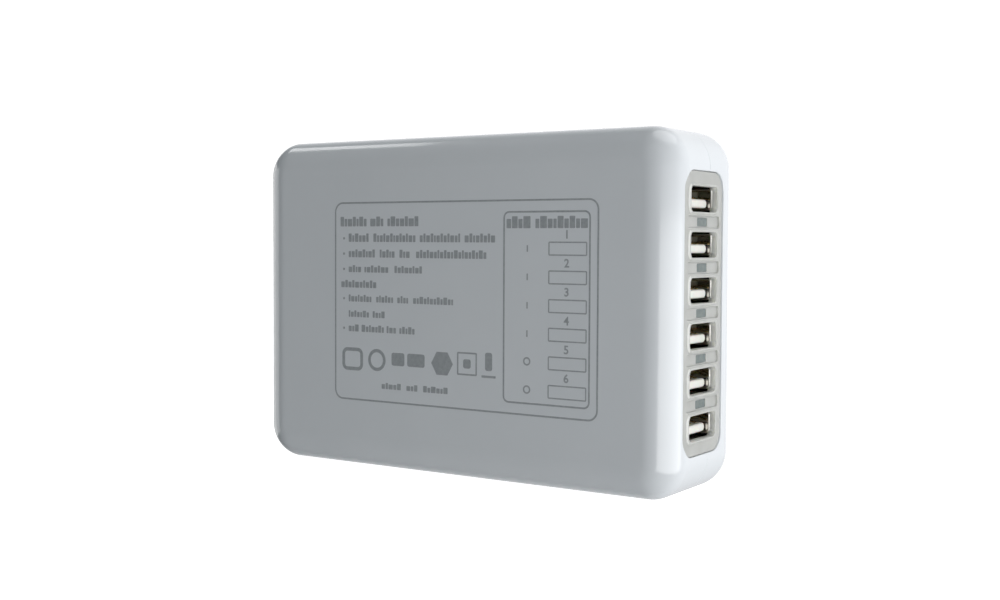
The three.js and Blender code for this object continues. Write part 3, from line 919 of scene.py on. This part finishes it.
def make_inlet():
    front, back = INLET_LOW.x, INLET_HIGH.x
    near, far = INLET_FLANGE_BAND
    profile = started(INLET_ROUND, front, 4)
    profile += [(0, near), (INLET_FLANGE, near), (INLET_FLANGE, far), (0, far), (0, back)]
    rings = [along_x(inlet_outline(grow), x, INLET_Y, MIDDLE_Z) for grow, x in profile]
    housing = loft("inlet_housing_moulding", rings)
    cavity = flared_cutter(
        "cavity", lambda grow: figure_eight(LOBE + grow, LOBE_SPREAD, WAIST + 2 * grow),
        front + INLET_DEEP, front, -1, CAVITY_ROUND, INLET_Y, MIDDLE_Z,
    )
    boolean(housing, cavity, "DIFFERENCE")
    smooth(housing)
    finish_piece(housing, MATERIALS["black_plastic"], ["inlet_housing"])
    for i in (1, 2):
        make_inlet_pin(i)


def make_inlet_pin(i):
    """A round pin with a half round tip."""
    low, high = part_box(f"inlet_pin_{i}")
    middle = box_middle(low, high)
    radius = (high.y - low.y) / 2
    profile = [(radius * math.sin(t), low.x + radius * (1 - math.cos(t))) for t in quarter_turns(8)[1:]]
    profile.append((radius, high.x))
    last = 360 - 360 / PIN_SIDES
    rings = [along_x(arc((0, 0), r, 0, last, PIN_SIDES - 1), x, middle.y, middle.z) for r, x in profile]
    pin = smooth(loft(f"inlet_pin_{i}_turned", rings), SMALL_SHARP)
    finish_piece(pin, MATERIALS["pin_nickel"], [f"inlet_pin_{i}"])


# ======== The print on the front face ========
# Places and sizes are in millimetres from the case's lower left corner, seen square on.

INK = 0.02 * MM  # how far the ink stands proud


def face_point(x, z):
    return LOW.x + x * MM, LOW.z + z * MM


def ink_band(name, x0, z0, x1, z1, corner, line):
    """A rounded rectangle drawn as a line of the given width, inside its corners' places."""
    left, bottom = face_point(x0, z0)
    right, top = face_point(x1, z1)
    wide, tall = right - left, top - bottom
    centre = ((left + right) / 2, (bottom + top) / 2)
    outer = rounded_rect(wide, tall, corner * MM, 8)
    inner = rounded_rect(wide - 2 * line * MM, tall - 2 * line * MM, (corner - line) * MM, 8)
    levels = [(outer, 0), (outer, INK), (inner, INK), (inner, 0)]
    return loft(name, [along_y(o, LOW.y - rise, *centre) for o, rise in levels], hollow=True)


def ink_shape(name, outline, x, z):
    """A filled outline about a place on the face."""
    px, pz = face_point(x, z)
    points = [(u * MM, v * MM) for u, v in outline]
    return loft(name, [along_y(points, LOW.y - rise, px, pz) for rise in (0, INK)])


def ink_bar(name, x0, z0, x1, z1, corner):
    """A filled rounded rectangle. Its corners never take up quite the whole of a side."""
    outline = rounded_rect(x1 - x0, z1 - z0, min(corner, (z1 - z0) / 2.01, (x1 - x0) / 2.01), 3)
    return ink_shape(name, outline, (x0 + x1) / 2, (z0 + z1) / 2)


def finish_print(name, pieces):
    ink = join(name, pieces)
    finish_piece(ink, MATERIALS["print_grey"])


FRAME_BOX = (22.9, 15.5, 92.0, 60.62)
INNER_BOX = (69.1, 17.9, 90.1, 58.2)
FRAME_LINE = 0.38
BOX_X = (80.15, 89.3)
BOX_TALL = 2.9
BOX_LINE = 0.28
FIRST_BOX_Z = 50.4
BOX_PITCH = 5.9
NUMBER_RISE = 2.85  # from the middle of a box up to the middle of its number
NUMBER_LEFT = 0.2
NUMBER_SIZE = 1.8 * 1.35 * MM  # the height of a digit, as a font size
NUMBER_BOLD = 0.06 * MM
TICK_X = 75.05
TICK_HALF = (0.16, 0.7)
TICKS = 4  # the boxes from the top that have a tick, and the others have a ring
RING_HALF = 0.9
RING_DOWN, RING_UP = 0.8, 1.0  # from the height of a box's middle
RING_CORNER = 0.89
RING_LINE = 0.34


def box_heights():
    """Heights of the six boxes' middles, from the top one down."""
    return [FIRST_BOX_Z - BOX_PITCH * i for i in range(len(SOCKETS))]


def print_frames():
    finish_print("print_frames", [
        ink_band("outer", *FRAME_BOX, 2.3, FRAME_LINE),
        ink_band("inner", *INNER_BOX, 1.4, FRAME_LINE),
    ])


def print_boxes():
    half = BOX_TALL / 2
    finish_print("print_boxes", [
        ink_band(f"box_{i}", BOX_X[0], z - half, BOX_X[1], z + half, 0.32, BOX_LINE)
        for i, z in enumerate(box_heights())
    ])


def digit_mesh(i):
    """A digit in Blender's own plain letterform, about the origin and facing up."""
    curve = bpy.data.curves.new(f"number_{i}", "FONT")
    curve.body = str(i)
    curve.size = NUMBER_SIZE
    curve.align_x = "CENTER"
    curve.align_y = "CENTER"
    curve.extrude = INK / 2
    curve.offset = NUMBER_BOLD
    text = bpy.data.objects.new(f"number_{i}", curve)
    bpy.context.scene.collection.objects.link(text)
    bpy.context.view_layer.update()
    mesh = bpy.data.meshes.new_from_object(text.evaluated_get(bpy.context.evaluated_depsgraph_get()))
    bpy.data.objects.remove(text)
    return mesh


def print_numbers():
    """The sockets' numbers, 1 to 6, one over each box."""
    for i, height in enumerate(box_heights(), 1):
        mesh = digit_mesh(i)
        x, z = face_point(sum(BOX_X) / 2 - NUMBER_LEFT, height + NUMBER_RISE)
        mesh.transform(Matrix.Translation((x, LOW.y - INK / 2, z)) @ Matrix.Rotation(math.pi / 2, 4, "X"))
        number = bpy.data.objects.new(f"print_number_{i}", mesh)
        bpy.context.scene.collection.objects.link(number)
        finish_piece(number, MATERIALS["print_grey"])


# Widths and heights of the blocks in turn, as shares of the row's own.
BLOCK_WIDTHS = (1.0, 0.72, 1.25, 0.9, 0.6, 1.1, 0.8)
BLOCK_HEIGHTS = (1.0, 0.78, 0.78, 1.0, 0.78)
BLOCK_GAP = 0.2
BLOCK_CORNER = 0.14


def word_blocks(name, x0, x1, low, high, glyph, turn):
    """A stand-in for a printed word: plain blocks, uneven in width and height, with no letter shapes."""
    count = max(1, round((x1 - x0 + BLOCK_GAP) / (glyph + BLOCK_GAP)))
    widths = [BLOCK_WIDTHS[(turn + i) % len(BLOCK_WIDTHS)] for i in range(count)]
    unit = (x1 - x0 - BLOCK_GAP * (count - 1)) / sum(widths)
    blocks = []
    left = x0
    for i, width in enumerate(widths):
        top = low + (high - low) * BLOCK_HEIGHTS[(turn + i) % len(BLOCK_HEIGHTS)]
        blocks.append(ink_bar(f"{name}_{i}", left, low, left + unit * width, top, BLOCK_CORNER))
        left += unit * width + BLOCK_GAP
    return blocks


# Rows of small print as (words' left and right edges, lowest, highest, block width).
PRINT_ROWS = [
    (((24.6, 32.2), (33.3, 37.0), (38.2, 46.8)), 55.1, 57.3, 1.0),
    (((27.0, 32.8), (34.2, 46.0), (47.2, 58.0), (59.2, 67.0)), 51.6, 53.5, 0.75),
    (((27.0, 34.6), (36.0, 40.2), (41.6, 44.4), (46.2, 64.8)), 48.1, 49.9, 0.75),
    (((27.0, 30.6), (31.6, 38.4), (40.2, 47.8)), 44.7, 46.3, 0.75),
    (((24.8, 35.0),), 41.2, 42.9, 0.8),
    (((27.0, 33.6), (35.0, 39.8), (41.0, 44.0), (45.4, 56.2)), 38.0, 39.6, 0.7),
    (((27.0, 32.9), (34.0, 37.4)), 34.5, 36.0, 0.7),
    (((27.0, 29.9), (30.8, 37.2), (38.0, 40.6), (41.6, 45.8)), 31.2, 32.8, 0.7),
    (((36.6, 42.0), (43.6, 46.6), (48.2, 54.8)), 18.6, 20.0, 0.85),
    (((69.9, 75.8), (77.0, 89.4)), 54.6, 57.1, 1.2),
]
BULLET_HEIGHTS = (52.4, 48.9, 45.4, 38.7, 31.9)
BULLET_X = 25.6
BULLET_RADIUS = 0.3


def print_rows():
    blocks = []
    for row, (words, low, high, glyph) in enumerate(PRINT_ROWS):
        for k, (x0, x1) in enumerate(words):
            blocks += word_blocks(f"row_{row}_{k}", x0, x1, low, high, glyph, 3 * row + 2 * k)
    bullet = arc((0, 0), BULLET_RADIUS, 0, 350, 11)
    blocks += [ink_shape(f"bullet_{i}", bullet, BULLET_X, z) for i, z in enumerate(BULLET_HEIGHTS)]
    finish_print("print_rows", blocks)


def print_ticks():
    """Beside the boxes: four upright ticks, then two rings."""
    heights = box_heights()
    wide, tall = TICK_HALF
    marks = [
        ink_bar(f"tick_{i}", TICK_X - wide, z - tall, TICK_X + wide, z + tall, 0.1)
        for i, z in enumerate(heights[:TICKS])
    ]
    left, right = TICK_X - RING_HALF, TICK_X + RING_HALF
    marks += [
        ink_band(f"ring_{i}", left, z - RING_DOWN, right, z + RING_UP, RING_CORNER, RING_LINE)
        for i, z in enumerate(heights[TICKS:], TICKS)
    ]
    finish_print("print_ticks", marks)


def hexagon(radius):
    return [(radius * math.cos(math.pi / 3 * k), radius * math.sin(math.pi / 3 * k)) for k in range(6)]


def print_symbols():
    """A row of plain shapes where the photograph has approval marks."""
    shapes = [
        ink_band("rounded_square", 25.1, 22.3, 31.2, 27.5, 1.5, 0.8),
        ink_band("circle", 32.7, 22.5, 37.7, 27.5, 2.49, 0.75),
        ink_bar("long_bar_1", 39.4, 24.0, 43.0, 26.9, 0.5),
        ink_bar("long_bar_2", 43.8, 24.0, 48.6, 26.9, 0.5),
        ink_shape("hexagon", hexagon(2.9), 53.3, 25.2),
        ink_band("square", 57.3, 23.0, 62.5, 28.0, 0.3, 0.36),
        ink_bar("square_middle", 58.9, 24.5, 60.9, 26.5, 0.5),
        ink_bar("upright", 64.6, 24.3, 66.4, 28.2, 0.5),
        ink_bar("underline", 63.7, 22.8, 67.3, 23.3, 0.1),
    ]
    finish_print("print_symbols", shapes)


def make_print():
    print_frames()
    print_boxes()
    print_numbers()
    print_rows()
    print_ticks()
    print_symbols()


# ======== Studio ========

FLOOR_REACH = 40.0
BRIGHT_SIDE = (0.28, 0.95, -0.08)  # the way to the brightest part of the surroundings
BRIGHT_RANGE = (-0.1, 0.6)
UP = (0, 0, 1)
UNDER_RANGE = (-0.4, 0.1)  # below the horizon the bright side fades to this share
UNDER_SHARE = 0.6
BRIGHT_WORLD = (1.08, 1.09, 1.11)
DIM_WORLD = (0.074, 0.087, 0.092)
BACKDROP = (1.1, 1.1, 1.1)
OVERHEAD_PLACE = (0.2, 0.1, 1.0)
OVERHEAD_POWER = 1.0
OVERHEAD_SPREAD = math.radians(50)
# Softboxes as (name, place, size, power in watts). The key reaches below the floor, which lets it through.
SOFTBOXES = [
    ("key", (0.66, -0.36, -0.15), (1.3, 0.46), 6.65),
    ("side", (-0.8, 0.02, 0.0), (0.6, 0.5), 1.3),
    ("rim", (-0.62, 0.02, 0.72), (0.22, 0.22), 0.45),
]


def make_camera():
    data = bpy.data.cameras.new("camera")
    data.sensor_width = 36
    data.lens = LENS
    data.shift_x, data.shift_y = SHIFT
    data.clip_start = 0.01
    camera = bpy.data.objects.new("camera", data)
    turn = Matrix.Rotation(CAMERA_YAW, 4, "Z")
    tilt = Matrix.Rotation(math.pi / 2 + CAMERA_PITCH, 4, "X")
    roll = Matrix.Rotation(CAMERA_ROLL, 4, "Z")
    camera.matrix_world = Matrix.Translation(CAMERA_PLACE) @ turn @ tilt @ roll
    bpy.context.scene.collection.objects.link(camera)
    bpy.context.scene.camera = camera


def make_floor():
    """A plain pale floor, near white by its own glow, that neither lights nor shades the charger."""
    bm = bmesh.new()
    bmesh.ops.create_grid(bm, x_segments=1, y_segments=1, size=FLOOR_REACH)
    floor = add_object("floor", bm)
    recipe = Recipe("floor_pale", (0.30, 0.30, 0.30), 0.7)
    recipe.mix_color(recipe.noise(6, 3), (0.29, 0.29, 0.29))
    recipe.set("Specular IOR Level", 0.1)
    recipe.set("Emission Color", (1, 1, 1, 1)).set("Emission Strength", 0.96)
    floor.visible_diffuse = False
    floor.visible_glossy = False
    floor.visible_shadow = False
    floor.data.materials.append(recipe.material)


def add_light(name, kind, place, power):
    """A light at a place, turned towards the middle of the charger."""
    data = bpy.data.lights.new(name, kind)
    data.energy = power
    light = bpy.data.objects.new(name, data)
    light.location = place
    aim = Vector((0, 0, MIDDLE_Z)) - Vector(place)
    light.rotation_euler = aim.to_track_quat("-Z", "Y").to_euler()
    bpy.context.scene.collection.objects.link(light)
    return data


def add_softbox(name, place, size, power):
    data = add_light(name, "AREA", place, power)
    data.shape = "RECTANGLE"
    data.size, data.size_y = size


def sky_ramp(tree, axis, span, low, high):
    """A value that rises smoothly from low to high as the sky's direction turns towards an axis."""
    facing = tree.nodes.new("ShaderNodeVectorMath")
    facing.operation = "DOT_PRODUCT"
    facing.inputs[1].default_value = axis
    tree.links.new(tree.nodes.new("ShaderNodeTexCoord").outputs["Generated"], facing.inputs[0])
    ranged = map_range(tree, facing.outputs["Value"], (*span, low, high))
    ranged.interpolation_type = "SMOOTHSTEP"
    return ranged.outputs["Result"]


def sky_mix(tree, factor, first, second):
    """A colour between two, where the first may be another node's output."""
    mix = tree.nodes.new("ShaderNodeMix")
    mix.data_type = "RGBA"
    tree.links.new(factor, mix.inputs["Factor"])
    if isinstance(first, tuple):
        mix.inputs["A"].default_value = (*first, 1)
    else:
        tree.links.new(first, mix.inputs["A"])
    mix.inputs["B"].default_value = (*second, 1)
    return mix.outputs["Result"]


def make_world():
    """Soft light from behind the charger more than from its printed side, and a plain white backdrop."""
    world = bpy.data.worlds.new("studio")
    world.use_nodes = True
    bpy.context.scene.world = world
    tree = world.node_tree
    share = tree.nodes.new("ShaderNodeMath")
    share.operation = "MULTIPLY"
    tree.links.new(sky_ramp(tree, BRIGHT_SIDE, BRIGHT_RANGE, 0, 1), share.inputs[0])
    tree.links.new(sky_ramp(tree, UP, UNDER_RANGE, UNDER_SHARE, 1), share.inputs[1])
    light = sky_mix(tree, share.outputs["Value"], DIM_WORLD, BRIGHT_WORLD)
    seen = tree.nodes.new("ShaderNodeLightPath").outputs["Is Camera Ray"]
    tree.links.new(sky_mix(tree, seen, light, BACKDROP), tree.nodes["Background"].inputs["Color"])


def make_studio():
    make_floor()
    make_world()
    sun = add_light("overhead", "SUN", OVERHEAD_PLACE, OVERHEAD_POWER)
    sun.angle = OVERHEAD_SPREAD
    for softbox in SOFTBOXES:
        add_softbox(*softbox)
    bpy.context.scene.view_settings.view_transform = "Standard"


# ======== Everything together ========

make_camera()
dress_frame()
make_covers()
make_panel()
make_sockets()
make_inlet()
make_print()
make_studio()
